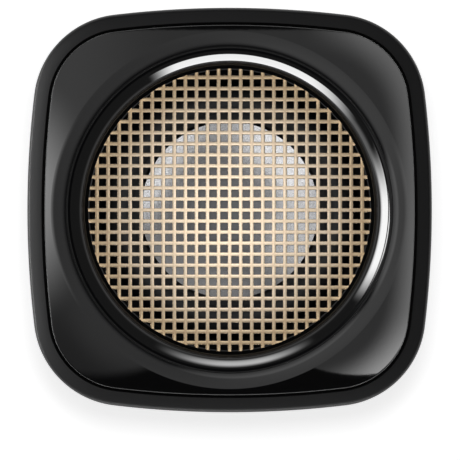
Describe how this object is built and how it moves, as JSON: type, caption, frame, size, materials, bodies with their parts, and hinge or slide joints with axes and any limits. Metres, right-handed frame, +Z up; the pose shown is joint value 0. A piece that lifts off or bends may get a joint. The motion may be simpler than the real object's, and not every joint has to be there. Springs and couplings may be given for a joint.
{
  "type": "smart home hub",
  "caption": "Squircle puck smart home hub that lies on its back: black casing, gloss bezel and rolled ring round a domed square-hole speaker grille, ports at the rear.",
  "frame": {"origin": "on the surface under the feet, below the middle of the casing", "axes": "+Z up, out of the speaker grille; +Y to the rear, where the ports are; +X to the right seen from above with the rear up"},
  "size_m": [0.11, 0.11, 0.042],
  "materials": {
    "casing_black": "satin, fine moulded grain",
    "foot_rubber": "matt, soft touch",
    "screw_steel": "zinc plated, bright",
    "bezel_gloss": "high gloss black",
    "gasket_rubber": "matt",
    "ring_gloss": "high gloss black",
    "grille_champagne": "satin champagne anodised",
    "basket_black": "satin black",
    "terminal_brass": "tinned",
    "surround_rubber": "satin butyl rubber",
    "cone_black": "satin polypropylene",
    "cap_silver": "satin spun aluminium",
    "former_film": "amber polyimide film",
    "coil_copper": "enamelled copper wire",
    "spider_cloth": "resin dipped cotton",
    "magnet_steel": "zinc plated",
    "board_green": "solder mask over copper",
    "can_tin": "tinned sheet",
    "component_black": "moulded epoxy",
    "header_ivory": "nylon",
    "wire_red": "vinyl insulation",
    "jack_steel": "nickel plated shell",
    "socket_steel": "nickel plated shell",
    "button_black": "satin",
    "plunger_ivory": "nylon",
    "slider_orange": "satin",
    "mic_blue": "solder mask"
  },
  "bodies": {
    "hub_body": {"housing": "casing_black", "base_cover": "casing_black", "rubber_feet": "foot_rubber", "case_screws": "screw_steel", "front_bezel": "bezel_gloss", "seam_gasket": "gasket_rubber", "trim_ring": "ring_gloss", "speaker_grille": "grille_champagne", "driver_basket": "basket_black", "driver_gasket": "gasket_rubber", "driver_screws": "screw_steel", "driver_terminals": "terminal_brass", "surround": "surround_rubber", "spider": "spider_cloth", "yoke_cup": "magnet_steel", "magnet": "magnet_steel", "pole_plate": "magnet_steel", "main_board": "board_green", "board_screws": "screw_steel", "shield_can": "can_tin", "board_components": "component_black", "antennas": "terminal_brass", "speaker_header": "header_ivory", "speaker_wires": "wire_red", "ethernet_jack": "jack_steel", "usb_socket": "socket_steel", "reset_switch": "component_black", "mute_switch": "component_black", "mic_boards": "mic_blue", "mic_seals": "gasket_rubber"},
    "cone_assembly": {"cone": "cone_black", "dust_cap": "cap_silver", "voice_coil_former": "former_film", "voice_coil": "coil_copper"},
    "button": {"reset_button": "button_black", "reset_plunger": "plunger_ivory"},
    "mute_knob": {"mute_slider": "slider_orange"}
  },
  "joints": [
    {"name": "cone_travel", "type": "slide", "parent": "hub_body", "child": "cone_assembly", "axis": [0, 0, 1], "range_m": [-0.002, 0.002], "stiffness_N_per_m": 1500, "deforming": ["surround", "spider"]},
    {"name": "reset_press", "type": "slide", "parent": "hub_body", "child": "button", "axis": [0, -1, 0], "range_m": [0, 0.0005], "stiffness_N_per_m": 600},
    {"name": "mute_slide", "type": "slide", "parent": "hub_body", "child": "mute_knob", "axis": [1, 0, 0], "range_m": [0, 0.002]}
  ]
}
